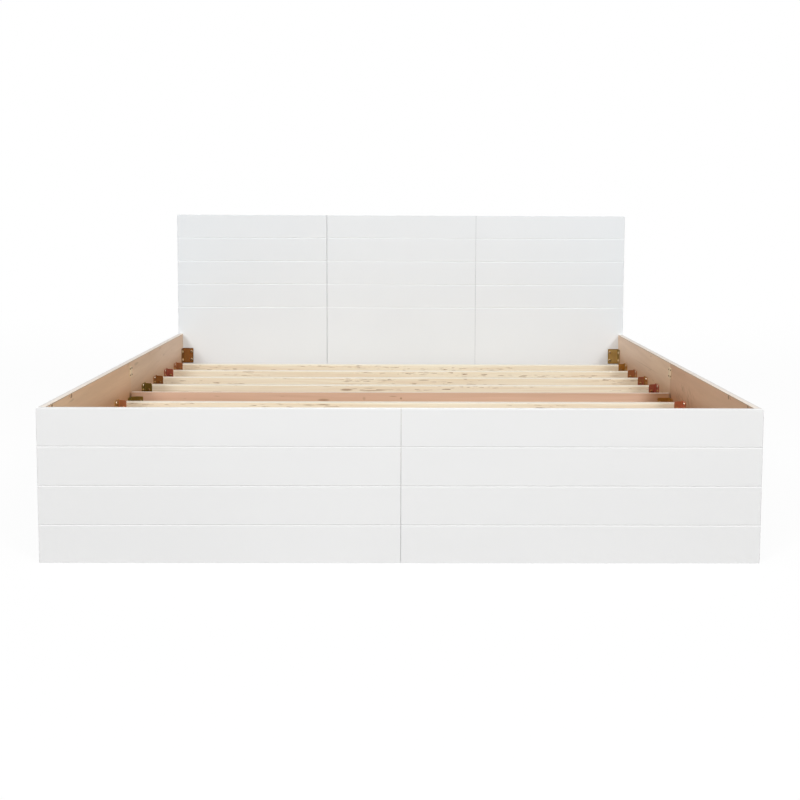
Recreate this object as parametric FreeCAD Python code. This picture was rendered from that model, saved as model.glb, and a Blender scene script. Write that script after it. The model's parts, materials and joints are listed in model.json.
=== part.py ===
import FreeCAD, Part
import math
import os

# King size box storage bed, built from flat panels and folded steel brackets.
# Millimetres. X runs across the bed, Y from the foot to the head, Z up.
# The origin lies on the floor, at the middle of the bed's outline.

vec = FreeCAD.Vector

# Driving dimensions: the mattress, the boards and the two heights
mattress_width = 1829.0
mattress_length = 1981.0
board = 18.0
rail_height = 404.0
headboard_height = 900.0

# Panels: gaps at the seams, broken edges, rounded corners
headboard_seam_gaps = {"left": 1.0, "right": 0.3}
footboard_seam_gap = 0.4
rail_seam_gap = 0.3
edge_chamfer = 1.5
corner_radius = 4.0
seam_chamfer = 0.5
fit_gap = 0.3
cut_overrun = 5.0
same_place = 0.15
parallel_share = 0.999

# Grooves across the white faces, V shaped and shallow
groove_width = 5.0
groove_depth = 1.5
rail_planks = 4
headboard_first_groove = 95.0
headboard_groove_pitch = 96.5
headboard_grooves = 4

# Cross boards: the slats, as many on each side of the centre partition
slat_count = 8
slat_setback = 162.0
slat_grid_shift = 16.5
slat_depth = 38.0
slat_height = 45.0
slat_drop = 112.0
slat_chamfer = 1.5
slat_end_gap = 3.0
partition_rise = 8.0
partition_end_gap = 3.5

# Folded sheet of the brackets
sheet = 2.0
bend_radius = 2.0
screw_hole = 4.5
screw_hole_sides = 8

# Slat bracket: a long leg on the rail, and a short one on the slat whose top steps down at the bend
slat_bracket = {
    "height": 46.0, "rail_leg": 48.0, "board_leg": 26.5, "board_step": 3.0, "taper": 1.0, "corner": 3.5,
    "rail_holes": [(31.0, 16.0), (31.0, 0.0), (31.0, -16.0)],
    "board_holes": [(16.0, -4.0)],
}
slat_bracket_rise = 11.5

# Corner bracket: square ended, two screws in each leg
corner_bracket = {
    "height": 62.0, "rail_leg": 36.0, "board_leg": 43.0, "board_step": 0.0, "taper": 0.0, "corner": 1.5,
    "rail_holes": [(22.0, 16.5), (22.0, -16.5)],
    "board_holes": [(35.0, 16.5), (35.0, -16.5)],
}
corner_bracket_drop = 60.5
partition_bracket_drop = 14.5
lower_bracket_top = 120.0

# Joint plates over the seams: on the inside of the rails and the footboard,
# and let in flush behind the headboard
plate = {"length": 38.0, "height": 36.0, "corner": 2.0, "hole_x": 12.0, "hole_z": 11.0}
plate_thickness = 1.5
rail_plate_drop = 35.0
headboard_plate_shares = (0.16, 0.5, 0.84)
footboard_plate_shares = (0.2, 0.8)

# Blind holes near the top edge of each rail's foot half
peg_hole = 8.0
peg_hole_depth = 10.0
peg_hole_drop = 9.0
peg_hole_setbacks = (65.0, 254.0)

# Storage floor
cleat = 25.0
bearer_width = 45.0
floor_board = 9.0
floor_board_gap = 2.0

# Worked out from the driving dimensions
inner_x = mattress_width / 2
outer_x = inner_x + board
inner_y = mattress_length / 2
outer_y = inner_y + board
slat_top = rail_height - slat_drop
partition_top = slat_top + partition_rise
slats_per_half = slat_count // 2
slat_pitch = (inner_y - slat_setback - slat_grid_shift) / slats_per_half
plank_face = (rail_height - (rail_planks - 1) * groove_width) / rail_planks
rail_groove_heights = [
    (plank_face + groove_width) * k - groove_width / 2 for k in range(1, rail_planks)
]
headboard_panel_width = (2 * outer_x - sum(headboard_seam_gaps.values())) / 3
headboard_groove_heights = [
    headboard_height - headboard_first_groove - headboard_groove_pitch * k
    for k in range(headboard_grooves)
]
sides = {"left": -1, "right": 1}


def block(low, high):
    size = high - low
    return Part.makeBox(size.x, size.y, size.z, low)


def prism(points, along):
    """Straight prism over a closed polygon."""
    face = Part.Face(Part.makePolygon(points + points[:1]))
    return face.extrude(along)


def at(shape, place):
    moved = shape.copy()
    moved.translate(place)
    return moved


def mirrored(shape, normal):
    return shape.mirror(vec(0, 0, 0), normal)


def edges_on(shape, axis, **fixed):
    """Edges that run along one axis, at the given places on the others."""
    found = []
    for edge in shape.Edges:
        start, end = edge.Vertexes[0].Point, edge.Vertexes[-1].Point
        run = end - start
        if abs(getattr(run, axis)) < run.Length * parallel_share:
            continue
        if all(abs(getattr(start, k) - v) < same_place for k, v in fixed.items()):
            found.append(edge)
    return found


def rim_edges(shape, y, seams):
    """Edges round one face at y, without its bottom edge and its seam edges."""
    found = []
    for edge in shape.Edges:
        middle = edge.CenterOfMass
        ends = [vertex.Point for vertex in edge.Vertexes]
        if any(abs(point.y - y) > same_place for point in ends):
            continue
        if middle.z < same_place or any(abs(middle.x - x) < same_place for x in seams):
            continue
        found.append(edge)
    return found


def panel(length, height, groove_heights, free_start=False, free_end=False):
    """Grooved board: its face looks along -Y at y = 0, its length runs along +X.

    A free end has a rounded top corner. Its edges and the top edges are broken. The other
    ends meet a neighbour, with a small chamfer on the face.
    """
    solid = block(vec(0, 0, 0), vec(length, board, height))
    free = [x for x, is_free in ((0, free_start), (length, free_end)) if is_free]
    seams = [x for x in (0, length) if x not in free]
    for x in free:
        solid = solid.makeFillet(corner_radius, edges_on(solid, "y", x=x, z=height))
    for y in (0, board):
        solid = solid.makeChamfer(edge_chamfer, rim_edges(solid, y, seams))
    for x in seams:
        solid = solid.makeChamfer(seam_chamfer, edges_on(solid, "z", x=x, y=0))
    half = groove_width / 2
    for z in groove_heights:
        groove = prism(
            [vec(-cut_overrun, 0, z - half), vec(-cut_overrun, groove_depth, z),
             vec(-cut_overrun, 0, z + half)],
            vec(length + 2 * cut_overrun, 0, 0),
        )
        solid = solid.cut(groove)
    return solid


def screw_holes(places, along):
    """Cutters for screw holes, centred on the given places and parallel to an axis."""
    reach = along * (sheet + cut_overrun)
    across = along.cross(vec(0, 0, 1)) * (screw_hole / 2)
    turn = FreeCAD.Rotation(along, 360 / screw_hole_sides)
    cutters = []
    for place in places:
        spoke, corners = across, []
        for _ in range(screw_hole_sides):
            corners.append(place + spoke - reach)
            spoke = turn.multVec(spoke)
        cutters.append(prism(corners, reach * 2))
    return cutters


def plate_blank(thickness, gap=0.0):
    """Rectangle with cut corners, centred in XZ, from y = 0 back to -thickness."""
    half_x = plate["length"] / 2 + gap
    half_z = plate["height"] / 2 + gap
    solid = block(vec(-half_x, -thickness, -half_z), vec(half_x, 0, half_z))
    return solid.makeChamfer(
        plate["corner"],
        [e for x in (-half_x, half_x) for z in (-half_z, half_z) for e in edges_on(solid, "y", x=x, z=z)],
    )


def joint_plate():
    """Flat steel plate with a screw hole near each corner."""
    hole_x, hole_z = plate["hole_x"], plate["hole_z"]
    places = [vec(x, 0, z) for x in (-hole_x, hole_x) for z in (-hole_z, hole_z)]
    return plate_blank(plate_thickness).cut(screw_holes(places, vec(0, 1, 0)))


def plate_pocket():
    """Cutter for the shallow pocket that a joint plate lies in."""
    return plate_blank(plate_thickness + cut_overrun, fit_gap).translated(vec(0, cut_overrun, 0))


def bend_profile(rail_leg, board_leg):
    """L section of the folded sheet, corner at the origin, legs along -Y and +X."""
    outer = bend_radius + sheet
    diagonal = math.sqrt(0.5)
    outer_mid = vec(outer - outer * diagonal, outer * diagonal - outer, 0)
    inner_mid = vec(outer - bend_radius * diagonal, bend_radius * diagonal - outer, 0)
    return Part.Face(Part.Wire([
        Part.makeLine(vec(0, -rail_leg, 0), vec(0, -outer, 0)),
        Part.Arc(vec(0, -outer, 0), outer_mid, vec(outer, 0, 0)).toShape(),
        Part.makeLine(vec(outer, 0, 0), vec(board_leg, 0, 0)),
        Part.makeLine(vec(board_leg, 0, 0), vec(board_leg, -sheet, 0)),
        Part.makeLine(vec(board_leg, -sheet, 0), vec(outer, -sheet, 0)),
        Part.Arc(vec(outer, -sheet, 0), inner_mid, vec(sheet, -outer, 0)).toShape(),
        Part.makeLine(vec(sheet, -outer, 0), vec(sheet, -rail_leg, 0)),
        Part.makeLine(vec(sheet, -rail_leg, 0), vec(0, -rail_leg, 0)),
    ]))


def tongue(kind, leg, depth, step=0.0):
    """Cutter that trims a leg: full height at the bend, tapered to an end with cut corners.

    It lies along +X from the fold at x = 0, and depth to each side of y = 0. Past the bend its top
    edge steps down.
    """
    half, bend = kind["height"] / 2, bend_radius + sheet
    ends = (half - step - kind["taper"], kind["taper"] - half)
    outline = [(-depth, half), (bend, half)]
    if step:
        outline.append((bend, half - step))
    outline += [(leg, ends[0]), (leg, ends[1]), (bend, -half), (-depth, -half)]
    solid = prism([vec(x, -depth, z) for x, z in outline], vec(0, 2 * depth, 0))
    return solid.makeChamfer(
        kind["corner"], [e for z in ends for e in edges_on(solid, "y", x=leg, z=z)])


def folded_bracket(kind):
    """L bracket in the corner between a rail face (x = 0) and a board face (y = 0)."""
    height, rail_leg, board_leg = kind["height"], kind["rail_leg"], kind["board_leg"]
    depth = max(rail_leg, board_leg) + cut_overrun
    solid = bend_profile(rail_leg, board_leg).extrude(vec(0, 0, height))
    solid = at(solid, vec(0, 0, -height / 2))
    solid = solid.common(tongue(kind, board_leg, depth, kind["board_step"]))
    rail_trim = tongue(kind, rail_leg, depth)
    rail_trim.rotate(vec(0, 0, 0), vec(0, 0, 1), -90)
    solid = solid.common(rail_trim)
    solid = solid.cut(screw_holes([vec(0, -run, z) for run, z in kind["rail_holes"]], vec(1, 0, 0)))
    return solid.cut(screw_holes([vec(run, 0, z) for run, z in kind["board_holes"]], vec(0, 1, 0)))


def corner_set(kind, side, board_y, facing, top):
    """One bracket against a rail, on a board face at board_y.

    facing is -1 where the board's face looks to the foot, 1 where it looks to the head.
    """
    solid = folded_bracket(kind)
    if facing > 0:
        solid = mirrored(solid, vec(0, 1, 0))
    if side > 0:
        solid = mirrored(solid, vec(1, 0, 0))
    return at(solid, vec(side * inner_x, board_y, top - kind["height"] / 2))


def headboard_panels():
    """Three equal panels, their faces towards the foot."""
    starts = {
        "left": -outer_x,
        "middle": -outer_x + headboard_panel_width + headboard_seam_gaps["left"],
        "right": outer_x - headboard_panel_width,
    }
    panels = {}
    for name, start in starts.items():
        solid = panel(headboard_panel_width, headboard_height, headboard_groove_heights,
                      free_start=name == "left", free_end=name == "right")
        solid = at(solid, vec(start, inner_y, 0))
        for seam_x in headboard_seams().values():
            for share in headboard_plate_shares:
                pocket = at(plate_pocket(), vec(seam_x, outer_y, headboard_height * share))
                solid = solid.cut(pocket)
        panels["headboard_" + name] = solid
    return panels


def headboard_seams():
    """X of the two seams between the headboard panels."""
    reach = outer_x - headboard_panel_width
    return {
        "left": -reach + headboard_seam_gaps["left"] / 2,
        "right": reach - headboard_seam_gaps["right"] / 2,
    }


def headboard_joint_plates():
    sets = {}
    for name, seam_x in headboard_seams().items():
        sets["headboard_joint_plates_" + name] = Part.makeCompound([
            at(joint_plate(), vec(seam_x, outer_y, headboard_height * share))
            for share in headboard_plate_shares
        ])
    return sets


def footboard_panels():
    """Two equal panels, their faces towards the foot, joined on the inside."""
    width = outer_x - footboard_seam_gap / 2
    panels = {}
    for name, start in (("left", -outer_x), ("right", footboard_seam_gap / 2)):
        solid = panel(width, rail_height, rail_groove_heights,
                      free_start=name == "left", free_end=name == "right")
        panels["footboard_" + name] = at(solid, vec(start, -outer_y, 0))
    return panels


def footboard_joint_plates():
    return {"footboard_joint_plates": Part.makeCompound([
        at(joint_plate(), vec(0, plate_thickness - inner_y, rail_height * share))
        for share in footboard_plate_shares
    ])}


def rail_halves():
    """Left and right rails, each in a foot half and a head half."""
    length = inner_y - rail_seam_gap / 2
    rails = {}
    for side_name, side in sides.items():
        for end_name, end in (("foot", -1), ("head", 1)):
            solid = panel(length, rail_height, rail_groove_heights)
            solid.rotate(vec(0, 0, 0), vec(0, 0, 1), 90 * side)
            low_y = -inner_y if end < 0 else rail_seam_gap / 2
            start_y = low_y if side > 0 else low_y + length
            solid = at(solid, vec(side * outer_x, start_y, 0))
            if end < 0:
                for setback in peg_hole_setbacks:
                    mouth = vec(side * (inner_x - cut_overrun), setback - outer_y,
                                rail_height - peg_hole_drop)
                    solid = solid.cut(Part.makeCylinder(
                        peg_hole / 2, peg_hole_depth + cut_overrun, mouth, vec(side, 0, 0)))
            rails["rail_%s_%s" % (side_name, end_name)] = solid
    return rails


def rail_joint_plates():
    plates = {}
    for side_name, side in sides.items():
        solid = joint_plate()
        solid.rotate(vec(0, 0, 0), vec(0, 0, 1), 90 * side)
        plates["rail_joint_plate_" + side_name] = at(
            solid, vec(side * (inner_x - plate_thickness), 0, rail_height - rail_plate_drop))
    return plates


def partition():
    reach = inner_x - partition_end_gap
    return {"centre_partition": block(vec(-reach, -board / 2, 0), vec(reach, board / 2, partition_top))}


def slat_fronts():
    """Y of each slat's front face, from the head to the foot.

    The slats keep one pitch, and the centre partition takes the middle place.
    """
    steps = range(1, slats_per_half + 1)
    head_half = [slat_grid_shift + slat_pitch * k for k in reversed(steps)]
    return head_half + [slat_grid_shift - slat_pitch * k for k in steps]


def slats():
    reach = inner_x - slat_end_gap
    solid = block(vec(-reach, 0, -slat_height), vec(reach, slat_depth, 0))
    solid = solid.makeChamfer(slat_chamfer, [
        e for y in (0, slat_depth) for z in (-slat_height, 0) for e in edges_on(solid, "x", y=y, z=z)
    ])
    return {
        "slat_%d" % (k + 1): at(solid, vec(0, front, slat_top))
        for k, front in enumerate(slat_fronts())
    }


def slat_brackets():
    top = slat_top + slat_bracket_rise
    return {
        "slat_%d_brackets" % (k + 1): Part.makeCompound([
            corner_set(slat_bracket, side, front, -1, top) for side in sides.values()
        ])
        for k, front in enumerate(slat_fronts())
    }


def corner_brackets():
    """Upper and lower brackets at the head, the foot and both faces of the partition."""
    places = {
        "head_corner_brackets": [(inner_y, -1, rail_height - corner_bracket_drop)],
        "foot_corner_brackets": [(-inner_y, 1, rail_height - corner_bracket_drop)],
        "partition_brackets": [
            (-board / 2, -1, partition_top - partition_bracket_drop),
            (board / 2, 1, partition_top - partition_bracket_drop),
        ],
    }
    sets = {}
    for name, faces in places.items():
        for side_name, side in sides.items():
            sets[name + "_" + side_name] = Part.makeCompound([
                corner_set(corner_bracket, side, board_y, facing, top)
                for board_y, facing, upper in faces for top in (upper, lower_bracket_top)
            ])
    return sets


def storage_floor():
    """Thin boards on cleats, with a bearer under the middle of each compartment."""
    parts = {}
    partition_y = board / 2
    for end_name, end in (("foot", -1), ("head", 1)):
        near, far = partition_y, inner_y
        run_near, run_far = near + cleat, far - cleat

        def between(x0, x1, y0, y1, z0, z1):
            low_y, high_y = sorted((end * y0, end * y1))
            return block(vec(x0, low_y, z0), vec(x1, high_y, z1))

        cross = inner_x - fit_gap
        parts["cleat_" + end_name] = between(-cross, cross, run_far, far, 0, cleat)
        reach = inner_x - partition_end_gap
        parts["cleat_partition_" + end_name] = between(-reach, reach, near, run_near, 0, cleat)
        parts["bearer_" + end_name] = between(
            -bearer_width / 2, bearer_width / 2, run_near, run_far, 0, cleat)
        for side_name, side in sides.items():
            x0, x1 = sorted((side * (inner_x - cleat), side * inner_x))
            parts["cleat_rail_%s_%s" % (side_name, end_name)] = between(
                x0, x1, run_near, run_far, 0, cleat)
            x0, x1 = sorted((side * floor_board_gap / 2, side * (inner_x - floor_board_gap)))
            parts["floor_board_%s_%s" % (side_name, end_name)] = between(
                x0, x1, near + floor_board_gap, far - floor_board_gap, cleat, cleat + floor_board)
    return parts


def main():
    parts = {}
    for group in (headboard_panels, footboard_panels, rail_halves, partition, slats, slat_brackets,
                  corner_brackets, rail_joint_plates, headboard_joint_plates,
                  footboard_joint_plates, storage_floor):
        parts.update(group())
    os.makedirs("parts", exist_ok=True)
    for name, shape in parts.items():
        shape.exportStep(os.path.join("parts", name + ".step"))
    print(len(parts), "sub-parts")


main()
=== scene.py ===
"""King size box storage bed: finishes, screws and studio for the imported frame."""

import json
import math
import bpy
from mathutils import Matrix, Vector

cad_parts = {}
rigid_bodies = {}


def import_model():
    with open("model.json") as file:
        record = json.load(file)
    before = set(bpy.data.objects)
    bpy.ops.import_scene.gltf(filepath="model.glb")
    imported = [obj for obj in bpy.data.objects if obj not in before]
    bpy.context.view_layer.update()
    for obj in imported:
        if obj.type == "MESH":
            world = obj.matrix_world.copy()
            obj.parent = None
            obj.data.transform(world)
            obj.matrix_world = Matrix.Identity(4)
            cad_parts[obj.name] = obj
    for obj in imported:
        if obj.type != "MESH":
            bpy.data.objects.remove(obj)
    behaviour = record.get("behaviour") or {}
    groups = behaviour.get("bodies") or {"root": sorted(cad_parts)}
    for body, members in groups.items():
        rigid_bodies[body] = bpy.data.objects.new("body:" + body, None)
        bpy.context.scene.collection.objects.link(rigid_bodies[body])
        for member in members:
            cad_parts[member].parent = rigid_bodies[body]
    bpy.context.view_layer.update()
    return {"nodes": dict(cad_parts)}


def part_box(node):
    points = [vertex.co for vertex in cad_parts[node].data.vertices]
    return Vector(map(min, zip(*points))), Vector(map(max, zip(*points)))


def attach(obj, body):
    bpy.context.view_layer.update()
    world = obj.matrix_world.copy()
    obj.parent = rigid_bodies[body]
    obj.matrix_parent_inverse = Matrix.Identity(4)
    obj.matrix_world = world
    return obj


bl_info = {
    "name": "Box Storage Bed",
    "version": (1, 0, 0),
    "blender": (4, 5, 0),
    "location": "View3D > Sidebar > Storage Bed",
    "description": "Finishes the boards and brackets of a box storage bed and drives its screws",
    "category": "Object",
}

import bmesh
import bpy
from bpy.props import FloatProperty, FloatVectorProperty, IntProperty, PointerProperty
from mathutils import Matrix, Vector

for leftover in list(bpy.data.objects):
    bpy.data.objects.remove(leftover)

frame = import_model()
nodes = frame["nodes"]

BODY = "root"
SIDES = (("left", -1), ("right", 1))
WHITE = (1.0, 1.0, 1.0)
RAIL_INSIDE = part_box("rail_right_foot")[0].x
RAIL_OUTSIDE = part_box("rail_right_foot")[1].x
RAIL_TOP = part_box("rail_right_foot")[1].z
SLAT_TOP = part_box("slat_1")[1].z
PARTITION_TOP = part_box("centre_partition")[1].z
BOARD = RAIL_OUTSIDE - RAIL_INSIDE


def number(name, description, value, **kind):
    return FloatProperty(name=name, description=description, default=value, **kind)


def length(name, description, value):
    return number(name, description, value, unit="LENGTH", min=0.0)


def share(name, description, value):
    return number(name, description, value, subtype="FACTOR", min=0.0, max=1.0)


def colour(name, description, value):
    return FloatVectorProperty(
        name=name, description=description, subtype="COLOR", min=0.0, soft_max=1.0, default=value)


def half_sizes(name, description, value):
    return FloatVectorProperty(
        name=name, description=description, subtype="XYZ_LENGTH", min=0.0, default=value)


def point(name, description, value):
    return FloatVectorProperty(
        name=name, description=description, subtype="TRANSLATION", unit="LENGTH", default=value)


# Settings

class BED_PG_paint(bpy.types.PropertyGroup):
    white: colour("White", "Paint on the grooved boards", (0.79, 0.79, 0.787))
    shade: colour("Shade", "Faint cloudiness in the paint", (0.775, 0.775, 0.772))
    # Painted light: the headboard's front is painted brighter and cooler than the same paint on the
    # footboard
    headboard_painted_light: colour("Cool", "Multiplies the paint on the headboard's front", (1.037, 1.077, 1.11))
    # Painted light on the grooves' downward flanks, and painted shade on the footboard's upward flanks
    upper_flank_painted_light: colour("Groove Upper", "Multiplies the grooves' upper flanks", (1.16, 1.16, 1.16))
    lower_flank_painted_shade: colour("Groove Lower", "Multiplies the footboard's lower flanks", (0.88, 0.88, 0.88))
    # Painted shade: the paint is darkened along each seam, standing in for the shade inside the gap
    # between panels
    seam: colour("Seam", "Multiplies the paint at a grimy seam", (0.58, 0.60, 0.62))
    seam_shade_reach: length("Seam Reach", "How far a seam's grime reaches", 0.0006)
    edge: length("Edge", "Depth of the boards' top edges, which are no grooves", 0.005)
    wrap: length("Wrap", "How far the paint wraps round from a rail's outer face", 0.0022)
    roughness: share("Roughness", "Satin of the paint", 0.45)
    drift: share("Drift", "Roughness gained where the paint is at its whitest", 0.08)
    cloud_size: length("Cloud Size", "Width of one faint cloud", 0.6)
    peel_size: length("Peel Size", "Width of one dimple of the sprayed surface", 0.004)
    peel_depth: length("Peel Depth", "Depth of one dimple of the sprayed surface", 0.0002)


class BED_PG_timber(bpy.types.PropertyGroup):
    veneer_head: colour("Head Veneer", "Pinkish veneer at the head", (0.845, 0.65, 0.495))
    veneer_middle: colour("Middle Veneer", "Yellower veneer of the head halves", (0.84, 0.625, 0.44))
    veneer_foot: colour("Foot Veneer", "Yellower veneer of the left foot half", (0.855, 0.60, 0.39))
    veneer_dull: colour("Dull Veneer", "Darker veneer of the right foot half", (0.69, 0.45, 0.295))
    veneer_grain: colour("Veneer Grain", "Multiplies the veneer in its grain", (0.84, 0.80, 0.77))
    # Painted shade: darkens the rails' veneer down towards the slats, where shade falls
    veneer_low_shade: colour("Low Veneer", "Multiplies the veneer down at the slats", (0.70, 0.55, 0.43))
    middle_reach: length("Middle Reach", "Length over which the middle veneer turns pinkish", 0.7)
    # Reach of the painted shade down at the slats
    shade_below: length("Grime Below", "Rails' grime is full this far below the slats' tops", 0.01)
    shade_above: length("Grime Above", "Rails' grime ends this far above the slats' tops", 0.07)
    lipping: colour("Lipping", "Inner half of a rail's top edge", (0.89, 0.80, 0.71))
    lipping_paint: colour("Lipping Paint", "Outer half of a rail's top edge", (0.79, 0.75, 0.71))
    lipping_drop: length("Lipping Drop", "Thickness of the lipping", 0.0016)
    lipping_line: colour("Lipping Line", "Thin glue line below the lipping", (0.46, 0.34, 0.25))
    line_drop: length("Line Drop", "Lower side of the glue line, below the rail's top", 0.0032)
    slat: colour("Slat", "Pale ply of a slat's side", (0.90, 0.83, 0.665))
    slat_dark: colour("Slat Grain", "Darker plies and streaks", (0.81, 0.68, 0.50))
    slat_top: colour("Slat Top", "Planed upper face of a slat", (0.97, 0.90, 0.79))
    knot: colour("Knot", "Knots and open spots between plies", (0.32, 0.19, 0.10))
    # Painted shade: a dark patch on the rails where the gap beside the partition lies in shade
    gap: colour("Gap", "Dark gap between the centre partition and the rails", (0.15, 0.08, 0.045))
    gap_size: half_sizes("Gap Size", "Half sizes of the gap's shade", (BOARD, 0.006, 0.026))
    gap_setback: length("Gap Setback", "Middle of the gap's shade from the partition's face", 0.005)
    gap_drop: length("Gap Drop", "Middle of the gap's shade below the partition's top", 0.024)
    partition: colour("Partition", "Reddish veneer of the centre partition", (0.69, 0.465, 0.335))
    partition_dark: colour("Partition Grain", "Darker grain of the partition", (0.59, 0.375, 0.26))
    # Painted shade: the partition darkens towards its ends by the rails, where shade falls
    partition_end_shade: colour("Partition End", "Multiplies the partition at its ends", (0.62, 0.50, 0.36))
    end_shade_reach: length("End Reach", "How far in from the partition's ends the grime goes", 0.09)
    end_shade_shift: length("End Shift", "How far the ends' grime is shifted to the left", 0.03)
    floor: colour("Floor Board", "Thin boards of the storage floor", (0.62, 0.48, 0.34))
    floor_dark: colour("Floor Board Grain", "Darker grain of the floor boards", (0.50, 0.36, 0.24))
    hole_setback: length("Hole Setback", "First peg hole from the foot end", 0.065)
    hole_second_setback: length("Second Hole Setback", "Second peg hole from the foot end", 0.254)
    hole_drop: length("Hole Drop", "Peg holes below the rail's top", 0.009)
    # Painted shade and grime: a dark mark for each peg hole's shaded inside and the smudge round it
    hole_shade_and_grime: half_sizes("Hole Grime", "Half sizes of a peg hole's grime", (0.012, 0.0075, 0.006))
    ply: length("Ply", "Thickness of one ply on a slat's side", 0.0042)
    pore_depth: length("Pore Depth", "Depth of the pores", 0.0003)
    roughness: share("Roughness", "Bare sanded wood", 0.62)


class BED_PG_steel(bpy.types.PropertyGroup):
    olive: colour("Olive", "Greenish yellow zinc", (0.28, 0.20, 0.045))
    gold: colour("Gold", "Golden yellow zinc", (0.48, 0.245, 0.055))
    straw: colour("Straw", "Pale yellow zinc", (0.54, 0.38, 0.14))
    brown: colour("Brown", "Brownish yellow zinc", (0.36, 0.16, 0.05))
    copper: colour("Copper", "Coppery yellow zinc", (0.46, 0.20, 0.09))
    orange: colour("Orange", "Orange yellow zinc", (0.69, 0.27, 0.16))
    rust: colour("Rust", "Reddish yellow zinc", (0.46, 0.14, 0.095))
    rim: colour("Rim", "Multiplies the rims of the upper head brackets", (0.55, 0.52, 0.42))
    rim_width: length("Rim Width", "Width of the brackets' rim", 0.005)
    rim_reach: length("Rim Reach", "How far from the head end brackets have a rim", 0.1)
    rim_share: number("Rim Share", "How far down the rim goes, in half bracket heights", 1.2)
    leg_reach: length("Leg Reach", "How near a rail a bracket's rail leg lies", 0.003)
    plate: colour("Plate", "Dull plating of the flat joint plates", (0.82, 0.66, 0.46))
    # Painted highlight: the head corners' screws are a brighter copy of the plating the other screws have
    screw: colour("Screw", "Plating of the head corners' screws", (0.86, 0.66, 0.42))
    slat_screw: colour("Slat Screw", "Plating of the other brackets' screws", (0.54, 0.33, 0.13))
    # Painted highlight: a paler tint on the upper screws of the slat brackets' rail legs
    screw_highlight: colour("Rubbed Screw", "Slat brackets' top screws, rubbed bare", (0.68, 0.54, 0.41))
    highlight_reach: length("Rubbed Reach", "Rubbed screws from a rail and the slats' tops", 0.006)
    plate_screw: colour("Plate Screw", "Dark screws of the joint plates", (0.16, 0.10, 0.06))
    shade: share("Shade", "Multiplies the even plating between its clouds", 0.85)
    roughness: share("Roughness", "Haze of the plating", 0.38)
    less_haze: share("Less Haze", "Roughness lost between the plating's clouds", 0.06)
    more_haze: share("More Haze", "Roughness gained in the plating's clouds", 0.08)
    patch: length("Patch", "Width of one patch of plating colour", 0.05)
    dimple_size: length("Dimple Size", "Width of one dimple of the plating", 0.0012)
    dimple_depth: length("Dimple Depth", "Depth of one dimple of the plating", 0.0001)


class BED_PG_screws(bpy.types.PropertyGroup):
    head_radius: length("Head Radius", "Radius of a pan head", 0.0042)
    head_height: length("Head Height", "Height of a pan head", 0.0022)
    corner_scale: number("Corner Scale", "Head corner screws beside a slat bracket's", 1.35)
    plate_scale: share("Plate Scale", "Joint plates' screws beside a slat bracket's", 0.72)
    sunk_scale: share("Sunk Scale", "Headboard plates' sunk screws beside a slat bracket's", 0.48)
    sunk_depth: length("Sunk Depth", "Sunk screws below the headboard's back", 0.0002)
    recess_depth: length("Recess Depth", "Depth of the cross recess", 0.0012)
    shank_radius: length("Shank Radius", "Radius below the head", 0.0019)
    shank_length: length("Shank Length", "Length below the head", 0.014)
    sides: IntProperty(
        name="Sides", description="Sides of a head, in fours", min=8, max=32, default=12)
    sheet: length("Sheet", "Thickness of the folded sheet", 0.002)
    slat_reach: length("Slat Reach", "Slat screw from the rail's face", 0.016)
    slat_rise: number("Slat Rise", "Slat screw above the bracket's middle", -0.004, unit="LENGTH")
    rail_reach: length("Rail Reach", "Rail screws of a slat bracket from the slat's face", 0.031)
    rail_rise: length("Rail Rise", "Outer rail screws from the bracket's middle", 0.016)
    corner_height: length("Corner Height", "Height of a corner bracket", 0.062)
    corner_rail_reach: length("Corner Rail Reach", "Corner bracket's rail screws from the board", 0.022)
    corner_board_reach: length("Corner Board Reach", "Corner bracket's board screws from the rail", 0.035)
    corner_rise: length("Corner Rise", "Corner bracket's screws from its middle, up and down", 0.0165)
    plate_height: length("Plate Height", "Height of a joint plate", 0.036)
    plate_reach: length("Plate Reach", "Joint plate's screws from the seam", 0.012)
    plate_rise: length("Plate Rise", "Joint plate's screws from its middle, up and down", 0.011)


class BED_PG_studio(bpy.types.PropertyGroup):
    floor: colour("Floor", "Pale studio floor", (0.38, 0.38, 0.38))
    floor_size: length("Floor Size", "Width of the studio floor", 60.0)
    floor_roughness: share("Floor Roughness", "Dullness of the studio floor", 0.9)
    floor_glow: share("Floor Glow", "How far the floor by the bed is whitened for the eye", 0.93)
    glow_start: length("Glow Start", "Distance from which the floor whitens further", 2.5)
    glow_end: length("Glow End", "Distance from which the floor is pure white", 8.0)
    sky: number("Sky", "Strength of the even white surroundings", 0.272)
    top_power: number("Top Power", "Power of the light above", 63.0, unit="POWER")
    top_place: point("Top Place", "Place of the light above", (0.0, -3.0, 5.0))
    top_size: length("Top Size", "Width of the light above", 5.0)
    side_power: number("Side Power", "Power of each light at the foot end", 370.0, unit="POWER")
    side_place: point("Side Place", "Right light's place, mirrored for the left", (4.2, -7.5, 5.0))
    side_size: length("Side Size", "Width of each light at the foot end", 2.0)
    back_power: number("Back Power", "Power of the light behind the head end", 170.0, unit="POWER")
    back_place: point("Back Place", "Place of the light behind the head end", (0.0, 7.5, 2.2))
    back_size: length("Back Size", "Width of the light behind the head end", 3.0)
    lens: number("Lens", "Focal length", 54.613, unit="CAMERA")
    eye: point("Eye", "Place of the camera", (-0.0016, -4.0848, 0.8905))
    pitch: number("Pitch", "Camera's tilt below the horizon", math.radians(4.915), subtype="ANGLE")
    yaw: number("Yaw", "Turn of the camera to the right", math.radians(0.688), subtype="ANGLE")
    roll: number("Roll", "Lean of the camera", math.radians(0.2335), subtype="ANGLE")
    shift_x: number("Shift X", "Sideways shift of the picture", -0.0191)
    shift_y: number("Shift Y", "Upright shift of the picture", -0.0971)


# Shader recipes

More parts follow.
